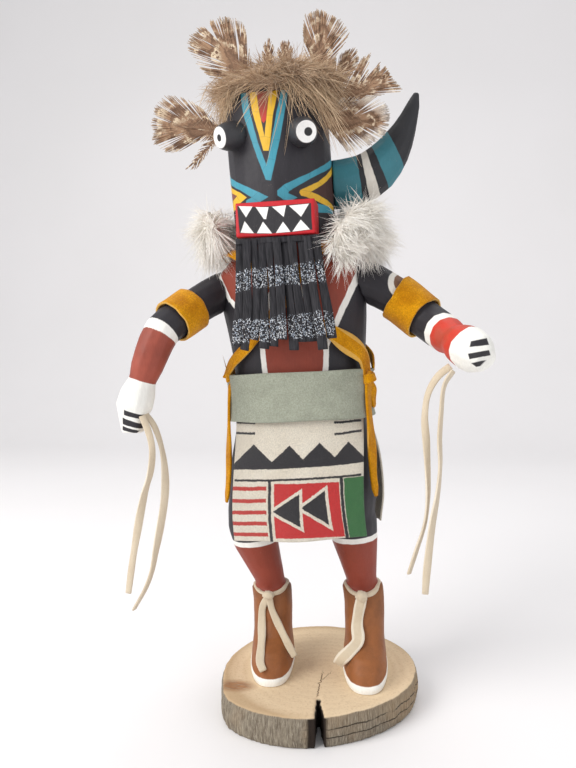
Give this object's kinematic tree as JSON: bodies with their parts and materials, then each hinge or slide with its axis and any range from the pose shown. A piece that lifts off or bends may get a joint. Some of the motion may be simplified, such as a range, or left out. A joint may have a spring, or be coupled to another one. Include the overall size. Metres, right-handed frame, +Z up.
{
  "type": "kachina doll",
  "caption": "Carved and painted kachina doll on a log slice: leaning figure with one horn, fur ruff, feather crown, crossed suede sashes, painted kilt, boots and trailing leather thongs.",
  "frame": {"origin": "middle of the base slab's underside, on the surface that the doll stands on", "axes": "+Z up out of the slab, the figure faces -Y, and +X is the figure's own left, where the horn is"},
  "size_m": [0.1839, 0.1092, 0.3706],
  "materials": {
    "log_wood": "sawn top, weathered grey rim",
    "painted_wood": "matt hand-painted black, red-brown, white and tan",
    "mask_paint": "matt hand-painted black with teal, yellow and red-brown figures",
    "horn_paint": "matt teal paint with a white and a black band",
    "mouth_paint": "red paint with painted white teeth on black",
    "eye_paint": "black ball with a white disc and a black dot",
    "kilt_cloth": "stiff napped cloth, painted",
    "belt_suede": "grey-green suede",
    "mustard_suede": "mustard suede with pale cut edges",
    "cream_leather": "soft undyed leather strip",
    "black_leather": "black suede with specks of glitter",
    "white_fur": "long soft fur",
    "brown_down": "fluffy down",
    "barred_feather": "brown body feathers with cream bars"
  },
  "bodies": {
    "root": {"base_slab": "log_wood", "body": "painted_wood", "head": "mask_paint", "mouth_block": "mouth_paint", "eye_right": "eye_paint", "eye_left": "eye_paint", "horn": "horn_paint", "arm_right": "painted_wood", "arm_left": "painted_wood", "armband_right": "mustard_suede", "armband_left": "mustard_suede", "kilt_front": "kilt_cloth", "kilt_back": "kilt_cloth", "belt": "belt_suede", "sash_right": "mustard_suede", "sash_left": "mustard_suede", "beard": "black_leather", "ruff": "white_fur", "fur_cap": "brown_down", "feather_side_right": "barred_feather", "feather_wisp": "barred_feather", "feather_top_right": "barred_feather", "feather_middle_right": "barred_feather", "feather_middle_left": "barred_feather", "feather_top_left": "barred_feather", "feather_back_left": "barred_feather", "feather_side_left": "barred_feather", "feather_low_left": "barred_feather", "boot_lace_right": "cream_leather", "boot_lace_left": "cream_leather", "thong_right_inner": "cream_leather", "thong_right_outer": "cream_leather", "thong_left_inner": "cream_leather", "thong_left_outer": "cream_leather"}
  },
  "joints": []
}
